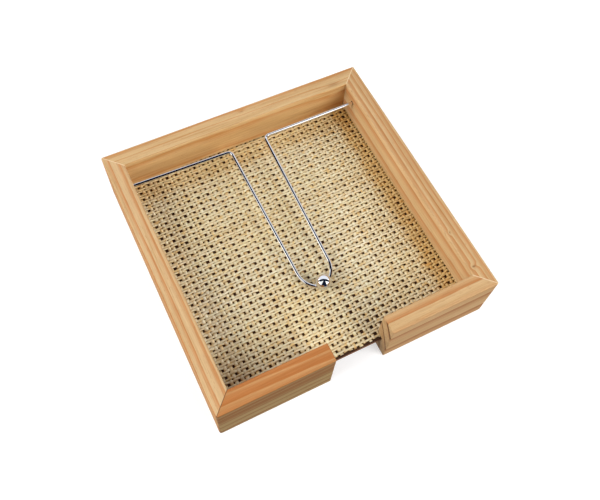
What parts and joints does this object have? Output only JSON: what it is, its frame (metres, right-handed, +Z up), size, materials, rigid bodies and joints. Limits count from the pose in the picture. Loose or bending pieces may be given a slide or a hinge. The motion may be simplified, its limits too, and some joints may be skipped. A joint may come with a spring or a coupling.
{
  "type": "napkin holder",
  "caption": "Flat napkin holder: a square mitred wooden tray with a finger notch in front, a woven floor, and a hinged wire arm with a ball that keeps the napkins down.",
  "frame": {"origin": "middle of the tray's underside, on the plane that it rests on", "axes": "+Z up, -Y towards the finger notch at the front, +X to the right seen from the front"},
  "size_m": [0.195, 0.195, 0.043],
  "materials": {
    "pine": "oiled softwood with orange growth rings",
    "hardboard": "smooth dark face, paler sawn edge",
    "raffia": "natural, open plain weave",
    "chromed_wire": "bright plated",
    "chromed_ball": "bright plated",
    "nail_steel": "plain drawn steel"
  },
  "bodies": {
    "tray": {"rail_left": "pine", "rail_right": "pine", "rail_back": "pine", "rail_front_left": "pine", "rail_front_right": "pine", "base_board": "hardboard", "raffia_liner": "raffia", "corner_v_nails": "nail_steel"},
    "hold_down": {"hold_down_wire": "chromed_wire", "weight_ball": "chromed_ball"}
  },
  "joints": [
    {"name": "arm_pivot", "type": "hinge", "parent": "tray", "child": "hold_down", "pos_m": [0, 0.0739, 0.0334], "axis": [-1, 0, 0], "range_deg": [0, 141]}
  ]
}
